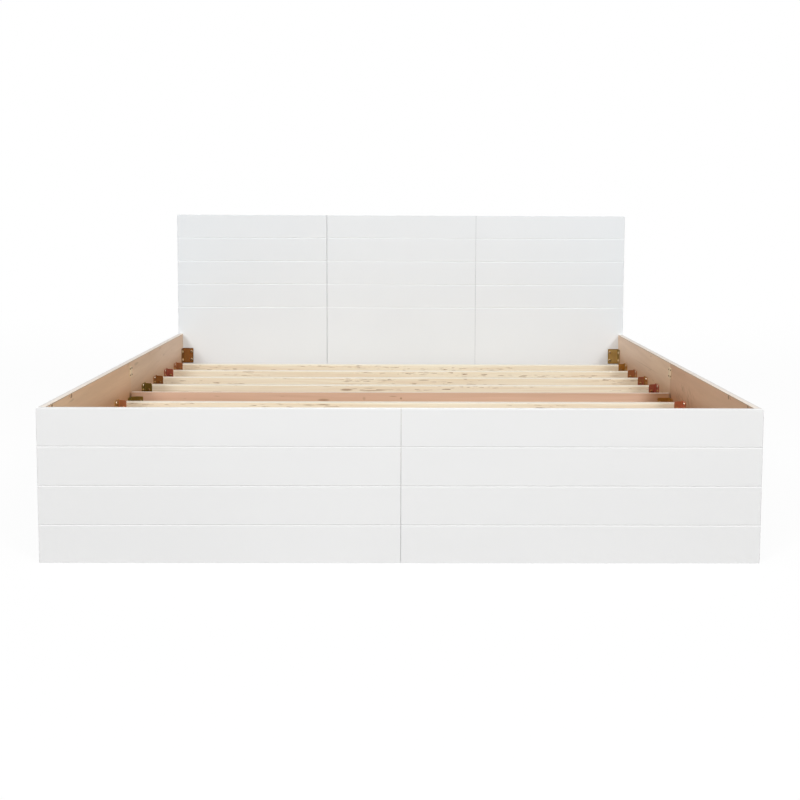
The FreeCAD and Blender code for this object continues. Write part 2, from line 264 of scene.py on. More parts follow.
class Recipe:
    """Adds nodes to one node tree and joins them up."""

    def __init__(self, tree):
        self.tree = tree

    def feed(self, socket, value):
        if isinstance(value, bpy.types.NodeSocket):
            self.tree.links.new(value, socket)
        elif socket.type == "RGBA" and len(value) == 3:
            socket.default_value = (*value, 1.0)
        else:
            socket.default_value = value

    def node(self, kind, sockets=None, **settings):
        made = self.tree.nodes.new(kind)
        for name, value in settings.items():
            setattr(made, name, value)
        for name, value in (sockets or {}).items():
            self.feed(made.inputs[name], value)
        return made

    def fed(self, kind, values, **settings):
        """First output of a new node whose inputs take the values in order."""
        made = self.node(kind, **settings)
        for socket, value in zip(made.inputs, values):
            self.feed(socket, value)
        return made.outputs[0]

    def math(self, operation, *values):
        return self.fed("ShaderNodeMath", values, operation=operation)

    def stretch(self, vector, factors):
        return self.fed("ShaderNodeVectorMath", (vector, factors), operation="MULTIPLY")

    def distance(self, vector):
        """How long a vector is."""
        made = self.node("ShaderNodeVectorMath", {"Vector": vector}, operation="LENGTH")
        return made.outputs["Value"]

    def joined(self, x, y, z):
        return self.fed("ShaderNodeCombineXYZ", (x, y, z))

    def parts(self, vector):
        made = self.node("ShaderNodeSeparateXYZ", {"Vector": vector})
        return made.outputs["X"], made.outputs["Y"], made.outputs["Z"]

    def upward(self):
        """How far a face looks up, from -1 to 1."""
        normal = self.node("ShaderNodeNewGeometry").outputs["Normal"]
        return self.parts(normal)[2]

    def noise(self, vector, scale=1.0, detail=2.0, roughness=0.5, seed=0.0):
        return self.node(
            "ShaderNodeTexNoise",
            {"Vector": vector, "W": seed, "Scale": scale, "Detail": detail, "Roughness": roughness},
            noise_dimensions="4D").outputs[0]

    def ramp(self, value, low, high):
        """0 below low, 1 above high, and smooth between."""
        return self.node(
            "ShaderNodeMapRange", {"Value": value, "From Min": low, "From Max": high},
            interpolation_type="SMOOTHSTEP").outputs["Result"]

    def spread(self, value, low, high):
        """Takes 0 to 1 onto low to high."""
        made = self.node("ShaderNodeMapRange", {"Value": value, "To Min": low, "To Max": high})
        return made.outputs["Result"]

    def above(self, value, limit):
        """1 above the limit and 0 below it."""
        return self.math("GREATER_THAN", value, limit)

    def both(self, first, second):
        """Where two masks meet."""
        return self.math("MULTIPLY", first, second)

    def outside(self, mask):
        return self.math("SUBTRACT", 1.0, mask)

    def off(self, value, middle=0.0):
        """How far a value is from a middle."""
        return self.math("ABSOLUTE", self.math("SUBTRACT", value, middle))

    def near(self, place, centre, sizes, soft=0.4):
        """1 inside an ellipsoid about a point, fading to 0 outside it."""
        offset = self.fed("ShaderNodeVectorMath", (place, centre), operation="SUBTRACT")
        reach = self.distance(self.stretch(offset, tuple(1 / size for size in sizes)))
        return self.outside(self.ramp(reach, 1.0 - soft, 1.0 + soft))

    def rim(self, across, up, middle, half, width):
        """1 along the rim of an upright rectangle."""
        masks = [
            self.ramp(self.off(value, centre), reach - width, reach - 0.3 * width)
            for value, centre, reach in zip((across, up), middle, half)
        ]
        return self.math("MAXIMUM", *masks)

    def mix(self, mask, low, high, blend="MIX"):
        made = self.node("ShaderNodeMix", data_type="RGBA", blend_type=blend)
        factor, first, second = made.inputs[0], made.inputs[6], made.inputs[7]
        self.feed(factor, mask)
        self.feed(first, low)
        self.feed(second, high)
        return made.outputs[2]

    def tinted(self, tint, mask, factor):
        """Multiplies a colour by a factor where the mask is 1."""
        return self.mix(mask, tint, factor, blend="MULTIPLY")

    def inked(self, tint, mask, strength, ink):
        """Lays ink of some strength on a colour where the mask is 1."""
        return self.mix(self.both(mask, strength), tint, ink)

    def spots(self, tint, place, ink, spots):
        """Lays ink on a colour at each spot, given as (centre, sizes, strength)."""
        for centre, sizes, strength in spots:
            tint = self.inked(tint, self.near(place, centre, sizes), strength, ink)
        return tint

    def bands(self, value, starts, colours):
        """One colour after the other as the value passes the starts, which rise from 0 to 1."""
        made = self.node("ShaderNodeValToRGB", {"Fac": value})
        made.color_ramp.interpolation = "CONSTANT"
        stops = made.color_ramp.elements
        while len(stops) < len(starts):
            stops.new(1.0)
        for stop, start, tint in zip(stops, starts, colours):
            stop.position = start
            stop.color = (*tint, 1.0)
        return made.outputs["Color"]

    def bump(self, height, strength, distance):
        made = self.node(
            "ShaderNodeBump", {"Height": height, "Strength": strength, "Distance": distance})
        return made.outputs["Normal"]

    def group(self, tree, sockets):
        return self.node("ShaderNodeGroup", sockets, node_tree=tree).outputs

    def surface(self, **sockets):
        """Principled surface, joined to the material's output."""
        titled = {name.replace("_", " ").title(): value for name, value in sockets.items()}
        shader = self.node("ShaderNodeBsdfPrincipled", titled)
        self.node("ShaderNodeOutputMaterial", {"Surface": shader.outputs[0]})


def new_group(name, inputs, outputs):
    """New node group whose outputs are plain values.

    Returns its recipe, the values given to it and the sockets of its results.
    """
    tree = bpy.data.node_groups.new(name, "ShaderNodeTree")
    for socket_name, kind in inputs.items():
        tree.interface.new_socket(socket_name, in_out="INPUT", socket_type="NodeSocket" + kind)
    for socket_name in outputs:
        tree.interface.new_socket(socket_name, in_out="OUTPUT", socket_type="NodeSocketFloat")
    recipe = Recipe(tree)
    given = recipe.node("NodeGroupInput").outputs
    result = recipe.node("NodeGroupOutput").inputs
    return recipe, given, result


def fibre_group():
    """Wood fibre: long streaks, fine pores and sparse dark flecks, along the scaled vector's X."""
    name = "Bed Fibre"
    if name in bpy.data.node_groups:
        return bpy.data.node_groups[name]
    recipe, given, result = new_group(
        name,
        {"Vector": "Vector", "Grain": "Vector", "Seed": "Float", "Fleck Level": "Float"},
        ("Streak", "Pore", "Fleck"))
    seed = given["Seed"]
    scaled = recipe.stretch(given["Vector"], given["Grain"])
    bend = recipe.noise(recipe.stretch(scaled, (0.6, 0.12, 0.12)), detail=1.0, seed=seed)
    sway = recipe.stretch(bend, (0.0, 3.0, 3.0))
    wander = recipe.fed("ShaderNodeVectorMath", (scaled, sway), operation="ADD")
    streak = recipe.noise(wander, detail=5.0, roughness=0.6, seed=seed)
    pore = recipe.noise(recipe.stretch(wander, (2.5, 9.0, 9.0)), detail=2.0, seed=seed)
    spots = recipe.noise(recipe.stretch(scaled, (6.0, 2.6, 2.6)), detail=1.5, seed=seed)
    level = given["Fleck Level"]
    recipe.feed(result["Streak"], recipe.ramp(streak, 0.3, 0.7))
    recipe.feed(result["Pore"], pore)
    recipe.feed(result["Fleck"], recipe.ramp(spots, level, recipe.math("ADD", level, 0.05)))
    return recipe.tree


def skin_group():
    """Fine relief and faint clouds of a coated surface."""
    name = "Bed Skin"
    if name in bpy.data.node_groups:
        return bpy.data.node_groups[name]
    recipe, given, result = new_group(
        name,
        {"Vector": "Vector", "Cloud Size": "Float", "Dimple Size": "Float"},
        ("Cloud", "Relief"))
    clouds = recipe.math("DIVIDE", 1.0, given["Cloud Size"])
    dimples = recipe.math("DIVIDE", 1.0, given["Dimple Size"])
    cloud = recipe.noise(given["Vector"], clouds, detail=3.0)
    recipe.feed(result["Cloud"], recipe.ramp(cloud, 0.3, 0.7))
    recipe.feed(result["Relief"], recipe.noise(given["Vector"], dimples, detail=2.0))
    return recipe.tree


def new_material(name):
    """Empty material, its recipe and the object's own coordinates."""
    material = bpy.data.materials.new(name)
    material.use_nodes = True
    material.node_tree.nodes.clear()
    recipe = Recipe(material.node_tree)
    return material, recipe, recipe.node("ShaderNodeTexCoord").outputs["Object"]


def give(material, names):
    """Puts one material on the named nodes of the frame."""
    for name in names:
        node = nodes[name]
        node.data.materials.clear()
        node.data.materials.append(material)


def named(*starts):
    return [name for name in sorted(nodes) if name.startswith(starts)]


def holding(word):
    return [name for name in sorted(nodes) if word in name]


# Materials

# Larger knots of the boards, as (centre, sizes, strength)
SLAT_KNOTS = (
    ((-0.195, 0.220, 0.2775), (0.020, 0.045, 0.0036), 0.75),
    ((-0.102, 0.220, 0.2745), (0.042, 0.045, 0.0018), 0.65),
    ((-0.250, -0.186, 0.2868), (0.018, 0.045, 0.0018), 0.60),
    ((0.085, 0.422, 0.2855), (0.020, 0.045, 0.0018), 0.60),
)
PARTITION_KNOTS = (
    ((-0.262, 0.0, 0.2750), (0.020, 0.02, 0.0040), 0.75),
    ((-0.125, 0.0, 0.2800), (0.005, 0.02, 0.0060), 0.35),
    ((0.0, 0.0, 0.2810), (0.0036, 0.02, 0.0036), 0.80),
)

# Figured patch and long hairline in the right rail's veneer, as (centre, sizes)
FIGURE_PATCH = ((RAIL_INSIDE, -0.20, RAIL_TOP - 0.084), (0.05, 0.13, 0.036))
FIGURE_SLANT = 1.3
HAIRLINE = ((RAIL_INSIDE, 0.42, RAIL_TOP - 0.062), (0.05, 0.20, 0.0011))

# How dense a pattern is along X, Y and Z
RAIL_GRAIN = (1.1, 17.0, 1.0)
FIGURE_STROKES = (75.0, 28.0, 1.0)
SLAT_GRAIN = (2.4, 30.0, 110.0)
SLAT_MARKS = (26.0, 6.0, 380.0)
SLAT_PATCHES = (3.0, 7.0, 60.0)
PLANED_GRAIN = (1.8, 45.0, 10.0)
PARTITION_GRAIN = (0.9, 1.0, 42.0)
PARTITION_MARKS = (14.0, 1.0, 120.0)
FLOOR_GRAIN = (0.9, 12.0, 30.0)
CLEAT_GRAIN = (3.0, 9.0, 60.0)

# Upright parts of a face's normal between which it turns into a groove's flank or a level face
FLANK_LEAN = (0.3, 0.5)
LEVEL_LEAN = (0.6, 0.8)

# Tint of each bracket's plating from the foot to the head, by the leg that it is on
BRACKET_TINTS = {
    "left rail": "brown copper gold rust straw olive olive brown rust copper brown",
    "left board": "brown copper gold rust orange olive olive brown rust copper brown",
    "right board": "straw gold rust brown orange gold rust rust copper gold straw",
    "right rail": "straw gold rust brown orange gold rust gold copper gold straw",
}


def paint_look(recipe, place, paint):
    """Colour, roughness and relief of the white paint."""
    skin = recipe.group(
        skin_group(),
        {"Vector": place, "Cloud Size": paint.cloud_size, "Dimple Size": paint.peel_size})
    tint = recipe.mix(skin["Cloud"], paint.shade, paint.white)
    roughness = recipe.spread(skin["Cloud"], paint.roughness, paint.roughness + paint.drift)
    return tint, roughness, skin["Relief"]


def white_paint(name, paint, seams, front=None, lower=WHITE):
    """Sprayed white paint, with painted light and shade on the grooves' flanks and painted shade in the
    seams.

    Before the Y given as front it is painted brighter and cooler, a painted light on the headboard's
    front, and lower multiplies it on the lower flanks as painted shade.
    """
    material, recipe, place = new_material(name)
    x, y, z = recipe.parts(place)
    tint, roughness, relief = paint_look(recipe, place, paint)
    # Painted light on the headboard's front
    if front is not None:
        tint = recipe.tinted(tint, recipe.above(front, y), paint.headboard_painted_light)
    up = recipe.upward()
    # Painted light on flanks that face down, and painted shade on flanks that face up below the top edge
    upper_flank = recipe.ramp(recipe.math("MULTIPLY", up, -1.0), *FLANK_LEAN)
    below_top = recipe.above(RAIL_TOP - paint.edge, z)
    lower_flank = recipe.both(recipe.ramp(up, *FLANK_LEAN), below_top)
    tint = recipe.tinted(tint, upper_flank, paint.upper_flank_painted_light)
    tint = recipe.tinted(tint, lower_flank, lower)
    # Painted shade along each seam
    for seam in seams:
        in_seam_shade = recipe.above(paint.seam_shade_reach, recipe.off(x, seam))
        tint = recipe.tinted(tint, in_seam_shade, paint.seam)
    recipe.surface(
        base_color=tint, roughness=roughness,
        normal=recipe.bump(relief, strength=0.04, distance=paint.peel_depth))
    return material


def timber_look(recipe, place, grain, seed, pale, dark):
    """Colour and pores of bare wood, whose fibres run along X."""
    fibre = recipe.group(fibre_group(), {"Vector": place, "Grain": grain, "Seed": seed})
    return recipe.mix(fibre["Streak"], dark, pale), fibre["Pore"]


def bare_surface(recipe, tint, pore, timber, strength=0.15):
    """Surface of bare sanded wood."""
    recipe.surface(
        base_color=tint, roughness=timber.roughness,
        normal=recipe.bump(pore, strength, timber.pore_depth))


def rail_veneer(recipe, place, timber):
    """Colour and pores of the veneer, whose tint changes at mid-length and towards the head."""
    x, y, z = recipe.parts(place)
    along = recipe.joined(y, z, x)
    fibre = recipe.group(
        fibre_group(), {"Vector": along, "Grain": RAIL_GRAIN, "Seed": 3.0, "Fleck Level": 0.66})
    foot = recipe.mix(recipe.above(x, 0.0), timber.veneer_foot, timber.veneer_dull)
    head = recipe.mix(
        recipe.ramp(y, 0.0, timber.middle_reach), timber.veneer_middle, timber.veneer_head)
    veneer = recipe.mix(recipe.above(y, 0.0), foot, head)
    veneer = recipe.tinted(veneer, recipe.outside(fibre["Streak"]), timber.veneer_grain)
    veneer = recipe.inked(veneer, fibre["Fleck"], 0.3, timber.knot)
    slanted = recipe.math("SUBTRACT", y, recipe.math("MULTIPLY", z, FIGURE_SLANT))
    strokes = recipe.noise(
        recipe.stretch(recipe.joined(slanted, z, 0.0), FIGURE_STROKES), detail=2.0, seed=13.0)
    patch = recipe.near(place, *FIGURE_PATCH, soft=0.4)
    figure = recipe.both(patch, recipe.ramp(strokes, 0.51, 0.62))
    veneer = recipe.inked(veneer, figure, 0.6, timber.knot)
    hairline = recipe.near(place, *HAIRLINE, soft=0.5)
    return recipe.inked(veneer, hairline, 0.35, timber.knot), fibre["Pore"]


def rail_grime_and_shade(recipe, place, timber, veneer, holes):
    """Darkens the veneer round the peg holes with grime and painted shade, and with painted shade beside
    the partition and down at the slats.
    """
    for side in (-1, 1):
        # Painted shade and grime at each peg hole
        for hole_y, hole_z in holes:
            hole = recipe.near(
                place, (side * RAIL_INSIDE, hole_y, hole_z), timber.hole_shade_and_grime, soft=0.25)
            veneer = recipe.mix(hole, veneer, timber.knot)
        # Painted shade of the gap beside the partition
        gap = recipe.near(
            place,
            (side * RAIL_INSIDE, -0.5 * BOARD - timber.gap_setback, PARTITION_TOP - timber.gap_drop),
            timber.gap_size, soft=0.25)
        veneer = recipe.inked(veneer, gap, 0.85, timber.gap)
    # Painted shade down at the slats
    z = recipe.parts(place)[2]
    high = recipe.ramp(z, SLAT_TOP - timber.shade_below, SLAT_TOP + timber.shade_above)
    return recipe.tinted(veneer, recipe.outside(high), timber.veneer_low_shade)


def rail_board(timber, paint, holes):
    """White outside, bare veneer inside, and a top edge of two tones."""
    material, recipe, place = new_material("Rail Board")
    x, _, z = recipe.parts(place)
    across = recipe.off(x)
    white = paint_look(recipe, place, paint)[0]
    veneer, pore = rail_veneer(recipe, place, timber)
    veneer = rail_grime_and_shade(recipe, place, timber, veneer, holes)
    line = recipe.above(z, RAIL_TOP - timber.line_drop)
    inside = recipe.mix(line, veneer, timber.lipping_line)
    outside = recipe.above(across, RAIL_OUTSIDE - paint.wrap)
    sides = recipe.mix(outside, inside, white)
    outer_half = recipe.above(across, RAIL_INSIDE + 0.5 * BOARD)
    edge = recipe.mix(outer_half, timber.lipping, timber.lipping_paint)
    top = recipe.above(z, RAIL_TOP - timber.lipping_drop)
    recipe.surface(
        base_color=recipe.mix(top, sides, edge),
        roughness=recipe.spread(outside, timber.roughness, paint.roughness),
        normal=recipe.bump(pore, strength=0.12, distance=timber.pore_depth))
    return material


def slat_timber(timber):
    """Laminated pine: plies on the sides with knots between them, planed top and bottom."""
    material, recipe, place = new_material("Slat Pine")
    side, pore = timber_look(recipe, place, SLAT_GRAIN, 5.0, timber.slat, timber.slat_dark)
    plies = recipe.noise(recipe.stretch(place, (0.7, 4.0, 1.0 / timber.ply)), detail=1.0, seed=2.0)
    side = recipe.inked(side, recipe.ramp(plies, 0.5, 0.62), 0.35, timber.slat_dark)
    marks = recipe.noise(recipe.stretch(place, SLAT_MARKS), detail=1.0, seed=7.0)
    patches = recipe.noise(recipe.stretch(place, SLAT_PATCHES), detail=1.0, seed=9.0)
    knots = recipe.both(recipe.ramp(marks, 0.60, 0.64), recipe.ramp(patches, 0.52, 0.58))
    side = recipe.inked(side, knots, 0.8, timber.knot)
    side = recipe.spots(side, place, timber.knot, SLAT_KNOTS)
    planed = timber_look(recipe, place, PLANED_GRAIN, 11.0, timber.slat_top, timber.slat)[0]
    level = recipe.ramp(recipe.off(recipe.upward()), *LEVEL_LEAN)
    bare_surface(recipe, recipe.mix(level, side, planed), pore, timber)
    return material


def partition_timber(timber):
    """Reddish veneered board with a few knots, paler on its top edge and darker at its ends with painted
    shade.
    """
    material, recipe, place = new_material("Partition Board")
    face, pore = timber_look(
        recipe, place, PARTITION_GRAIN, 17.0, timber.partition, timber.partition_dark)
    marks = recipe.noise(recipe.stretch(place, PARTITION_MARKS), detail=1.0, seed=21.0)
    face = recipe.inked(face, recipe.ramp(marks, 0.70, 0.78), 0.6, timber.knot)
    face = recipe.spots(face, place, timber.knot, PARTITION_KNOTS)
    # Painted shade towards the partition's ends
    across = recipe.off(recipe.parts(place)[0], -timber.end_shade_shift)
    ends = recipe.ramp(across, RAIL_INSIDE - timber.end_shade_reach, RAIL_INSIDE)
    face = recipe.tinted(face, ends, timber.partition_end_shade)
    top = recipe.ramp(recipe.upward(), *LEVEL_LEAN)
    bare_surface(recipe, recipe.inked(face, top, 0.5, timber.slat_top), pore, timber)
    return material


def floor_timber(timber):
    """Thin ply of the storage floor, whose grain runs along the bed."""
    material, recipe, place = new_material("Floor Board")
    x, y, z = recipe.parts(place)
    face, pore = timber_look(
        recipe, recipe.joined(y, x, z), FLOOR_GRAIN, 23.0, timber.floor, timber.floor_dark)
    bare_surface(recipe, face, pore, timber, strength=0.12)
    return material


def cleat_timber(timber):
    """Planed pine of the cleats and bearers."""
    material, recipe, place = new_material("Cleat Pine")
    face, pore = timber_look(recipe, place, CLEAT_GRAIN, 29.0, timber.slat, timber.slat_dark)
    bare_surface(recipe, face, pore, timber)
    return material


def plating_skin(recipe, place, steel):
    """Clouds and relief of the plating."""
    return recipe.group(
        skin_group(), {"Vector": place, "Cloud Size": steel.patch, "Dimple Size": steel.dimple_size})


def plated_surface(recipe, tint, skin, steel, metallic):
    """Surface of plated steel, hazier in its clouds."""
    low, high = steel.roughness - steel.less_haze, steel.roughness + steel.more_haze
    recipe.surface(
        base_color=tint, metallic=metallic, roughness=recipe.spread(skin["Cloud"], low, high),
        normal=recipe.bump(skin["Relief"], strength=0.08, distance=steel.dimple_depth))


def bracket_bounds():
    """Y halfway between one cross board's brackets and the next's, from the foot to the head."""
    names = [name for name in holding("bracket") if not name.endswith("right")]
    spans = sorted((low.y, high.y) for low, high in map(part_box, names))
    return [(here[1] + after[0]) / 2 for here, after in zip(spans, spans[1:])]


def yellow_zinc(steel, reach, leg_middle, leg_half):
    """Iridescent plating: each bracket's legs came out of the bath in tints of their own.

    The head corner's upper brackets have a darker rim, about leg_middle in X and Z.
    """
    material, recipe, place = new_material("Yellow Zinc")
    x, y, z = recipe.parts(place)
    across = recipe.off(x)
    starts = [0.0] + [(bound + reach) / (2 * reach) for bound in bracket_bounds()]
    along = recipe.node(
        "ShaderNodeMapRange", {"Value": y, "From Min": -reach, "From Max": reach}).outputs["Result"]
    tints = {
        leg: recipe.bands(along, starts, [getattr(steel, tint) for tint in row.split()])
        for leg, row in BRACKET_TINTS.items()
    }
    right = recipe.above(x, 0.0)
    on_rail = recipe.above(across, RAIL_INSIDE - steel.leg_reach)
    tint = recipe.mix(
        on_rail,
        recipe.mix(right, tints["left board"], tints["right board"]),
        recipe.mix(right, tints["left rail"], tints["right rail"]))
    rim = recipe.rim(across, z, leg_middle, leg_half, steel.rim_width)
    upper_head = recipe.both(
        recipe.above(y, reach - steel.rim_reach),
        recipe.above(z, leg_middle[1] - steel.rim_share * leg_half[1]))
    tint = recipe.tinted(tint, recipe.both(rim, upper_head), steel.rim)
    skin = plating_skin(recipe, place, steel)
    drift = recipe.noise(place, 1 / (0.6 * steel.patch), detail=2.0, seed=6.0)
    tint = recipe.inked(tint, recipe.ramp(drift, 0.5, 0.72), 0.35, steel.gold)
    tint = recipe.inked(tint, recipe.ramp(skin["Cloud"], 0.55, 0.9), 0.25, steel.olive)
    plated_surface(recipe, tint, skin, steel, metallic=0.9)
    return material


def plain_steel(name, steel, tint, metallic=1.0, highlit=None):
    """Evenly plated steel with a faint cloudiness, and a paler tint on the slat brackets' upper rail
    screws as a painted highlight.
    """
    material, recipe, place = new_material(name)
    skin = plating_skin(recipe, place, steel)
    shaded = recipe.mix(skin["Cloud"], tuple(steel.shade * part for part in tint), tint)
    # Painted highlight on the upper screws by the rails
    if highlit is not None:
        x, _, z = recipe.parts(place)
        on_rail = recipe.above(recipe.off(x), RAIL_INSIDE - steel.highlight_reach)
        high = recipe.above(z, SLAT_TOP - steel.highlight_reach)
        shaded = recipe.mix(recipe.both(on_rail, high), shaded, highlit)
    plated_surface(recipe, shaded, skin, steel, metallic)
    return material


def seen_by_eye(recipe):
    """1 for what the camera sees straight, in a mirror or through glass, and 0 for lighting."""
    path = recipe.node("ShaderNodeLightPath").outputs
    straight = recipe.math("MAXIMUM", path["Is Camera Ray"], path["Is Glossy Ray"])
    return recipe.math("MAXIMUM", straight, path["Is Transmission Ray"])


# Screws

# Turn from one screw's cross to the next one's
CROSS_TURN = 0.7


def sort_by_place(bm):
    """Lists a bmesh by place, because an extrusion lists its new sides differently in each run."""
    keys = (
        (bm.verts, lambda vert: vert.co[:]),
        (bm.edges, lambda edge: sorted(vert.index for vert in edge.verts)),
        (bm.faces, lambda face: sorted(vert.index for vert in face.verts)))
    for parts, key in keys:
        for index, part in enumerate(sorted(parts, key=key)):
            part.index = index
        parts.sort()


def finished(bm, name):
    """Mesh of a bmesh, which is freed."""
    mesh = bpy.data.meshes.new(name)
    bm.to_mesh(mesh)
    bm.free()
    return mesh


def placed(name, data):
    """New object at the scene's origin."""
    made = bpy.data.objects.new(name, data)
    bpy.context.scene.collection.objects.link(made)
    return made


def screw_mesh(screws):
    """Pan head with a cross recess on a short shank, its head's underside at the origin."""
    shoulder_share, top_share, cross_share = 0.86, 0.62, 0.24
    shoulder_rise_share, top_rise_share = 0.65, 0.35
    cross_floor_share, tip_share = 0.9, 0.6
    bm = bmesh.new()
    bmesh.ops.create_circle(bm, cap_ends=True, segments=screws.sides, radius=screws.head_radius)
    cap = bm.faces[:][0]
    if cap.normal.z > 0:
        bmesh.ops.reverse_faces(bm, faces=[cap])

    def push(faces, rise, taper):
        """Extrudes faces by a rise and scales their new rim about the axis."""
        grown = bmesh.ops.extrude_face_region(bm, geom=faces)["geom"]
        verts = [item for item in grown if isinstance(item, bmesh.types.BMVert)]
        bmesh.ops.scale(bm, vec=(taper, taper, 1.0), verts=verts)
        bmesh.ops.translate(bm, vec=(0.0, 0.0, rise), verts=verts)
        return [item for item in grown if isinstance(item, bmesh.types.BMFace)]

    crown = push([cap], screws.head_height * shoulder_rise_share, shoulder_share)
    crown = push(crown, screws.head_height * top_rise_share, top_share / shoulder_share)
    crown = push(crown, 0.0, cross_share / top_share)
    middle = crown[0]
    ring = [edge.link_faces for edge in middle.edges]
    beside = [next(face for face in faces if face is not middle) for faces in ring]
    cross = [middle] + beside[::screws.sides // 4]
    push(cross, -screws.recess_depth, cross_floor_share)
    bottom = min(bm.faces, key=lambda face: (face.calc_center_median().z, -face.calc_area()))
    rim = push([bottom], 0.0, screws.shank_radius / screws.head_radius)
    push(rim, -screws.shank_length, tip_share)
    bmesh.ops.recalc_face_normals(bm, faces=bm.faces[:])
    sort_by_place(bm)
    return finished(bm, "screw_pattern")


def screw_set(name, places, screws, material, size=1.0):
    """One piece of screws, each given as (place of the head's underside, outward direction)."""
    pattern = screw_mesh(screws)
    bm = bmesh.new()
    for index, (place, outward) in enumerate(places):
        first = len(bm.verts)
        bm.from_mesh(pattern)
        bm.verts.ensure_lookup_table()
        turn = Matrix.Rotation(index * CROSS_TURN, 4, "Z") @ Matrix.Scale(size, 4)
        stand = outward.to_track_quat("Z", "Y").to_matrix().to_4x4()
        bmesh.ops.transform(
            bm, matrix=Matrix.Translation(place) @ stand @ turn, verts=bm.verts[first:])
    bpy.data.meshes.remove(pattern)
    piece = placed(name, finished(bm, name))
    piece.data.materials.append(material)
    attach(piece, BODY)


def slat_screw_places(name, screws):
    """Screws of one slat's two brackets: three in each rail leg and one in each slat leg."""
    low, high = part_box(name)
    face, middle = high.y, (low.z + high.z) / 2
    places = []
    for side in (-1, 1):
        inward = Vector((-side, 0, 0))
        rail_x = side * (RAIL_INSIDE - screws.sheet)
        for rise in (-screws.rail_rise, 0.0, screws.rail_rise):
            places.append((Vector((rail_x, face - screws.rail_reach, middle + rise)), inward))
        slat_x = side * (RAIL_INSIDE - screws.slat_reach)
        slat_place = Vector((slat_x, face - screws.sheet, middle + screws.slat_rise))
        places.append((slat_place, Vector((0, -1, 0))))
    return places


def corner_screw_places(side, board_y, facing, middle, screws):
    """Four screws of one corner bracket on a board face that looks along facing."""
    places = []
    for rise in (-screws.corner_rise, screws.corner_rise):
        z = middle + rise
        rail_x = side * (RAIL_INSIDE - screws.sheet)
        rail_y = board_y + facing * screws.corner_rail_reach
        places.append((Vector((rail_x, rail_y, z)), Vector((-side, 0, 0))))
        board_x = side * (RAIL_INSIDE - screws.corner_board_reach)
        board_place = Vector((board_x, board_y + facing * screws.sheet, z))
        places.append((board_place, Vector((0, facing, 0))))
    return places


def plate_screw_places(centre, along, outward, screws):
    """Four screws of one joint plate."""
    up = Vector((0, 0, 1))
    return [
        (centre + along * (a * screws.plate_reach) + up * (b * screws.plate_rise), outward)
        for a in (-1, 1) for b in (-1, 1)
    ]


# Operators

class BED_OT_paint_panels(bpy.types.Operator):
    """Paint the headboard and the footboard white"""

    bl_idname = "storage_bed.paint_panels"
    bl_label = "Paint Panels"

    def execute(self, context):
        paint = context.scene.bed_paint
        low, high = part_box("headboard_middle")
        middle_y = (low.y + high.y) / 2
        # The footboard's upward flanks get painted shade
        footboard = white_paint("Footboard Paint", paint, (0.0,), lower=paint.lower_flank_painted_shade)
        # The headboard's front, before its middle, gets the painted light
        headboard = white_paint("Headboard Paint", paint, (low.x, high.x), front=middle_y)
        give(footboard, ("footboard_left", "footboard_right"))
        give(headboard, ("headboard_left", "headboard_middle", "headboard_right"))
        return {"FINISHED"}


class BED_OT_face_rails(bpy.types.Operator):
    """Veneer the rails inside and paint them outside"""

    bl_idname = "storage_bed.face_rails"
    bl_label = "Face Rails"

    def execute(self, context):
        timber = context.scene.bed_timber
        foot_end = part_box("rail_left_foot")[0].y
        holes = [
            (foot_end + setback, RAIL_TOP - timber.hole_drop)
            for setback in (timber.hole_setback, timber.hole_second_setback)
        ]
        give(rail_board(timber, context.scene.bed_paint, holes), named("rail_left", "rail_right"))
        return {"FINISHED"}


class BED_OT_finish_slats(bpy.types.Operator):
    """Give the slats their laminated pine"""

    bl_idname = "storage_bed.finish_slats"
    bl_label = "Finish Slats"

    def execute(self, context):
        slats = [name for name in named("slat_") if not name.endswith("brackets")]
        give(slat_timber(context.scene.bed_timber), slats)
        return {"FINISHED"}


class BED_OT_finish_partition(bpy.types.Operator):
    """Give the centre partition its reddish veneer"""

    bl_idname = "storage_bed.finish_partition"
    bl_label = "Finish Partition"

    def execute(self, context):
        give(partition_timber(context.scene.bed_timber), ("centre_partition",))
        return {"FINISHED"}


class BED_OT_finish_floor(bpy.types.Operator):
    """Give the storage floor, its cleats and its bearers their bare wood"""

    bl_idname = "storage_bed.finish_floor"
    bl_label = "Finish Floor"

    def execute(self, context):
        timber = context.scene.bed_timber
        give(floor_timber(timber), named("floor_board"))
        give(cleat_timber(timber), named("cleat", "bearer"))
        return {"FINISHED"}


class BED_OT_plate_brackets(bpy.types.Operator):
    """Plate the folded brackets with yellow zinc and the joint plates with dull zinc"""

    bl_idname = "storage_bed.plate_brackets"
    bl_label = "Plate Brackets"

    def execute(self, context):
        steel = context.scene.bed_steel
        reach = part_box("headboard_middle")[1].y
        half = context.scene.bed_screws.corner_height / 2
        low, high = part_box("head_corner_brackets_right")
        width = min(RAIL_INSIDE, high.x) - low.x
        middle = (RAIL_INSIDE - width / 2, high.z - half)
        give(yellow_zinc(steel, reach, middle, (width / 2, half)), holding("bracket"))
        give(plain_steel("Dull Zinc", steel, steel.plate, metallic=0.85), holding("joint_plate"))
        return {"FINISHED"}


class BED_OT_drive_slat_screws(bpy.types.Operator):
    """Drive the screws of the slat brackets"""

    bl_idname = "storage_bed.drive_slat_screws"
    bl_label = "Drive Slat Screws"

    def execute(self, context):
        screws, steel = context.scene.bed_screws, context.scene.bed_steel
        # The slat screws carry a painted highlight on their upper rail screws
        material = plain_steel(
            "Slat Screw Zinc", steel, steel.slat_screw, highlit=steel.screw_highlight)
        for name in named("slat_"):
            if name.endswith("brackets"):
                screw_set(
                    name.replace("brackets", "screws"), slat_screw_places(name, screws),
                    screws, material)
        return {"FINISHED"}


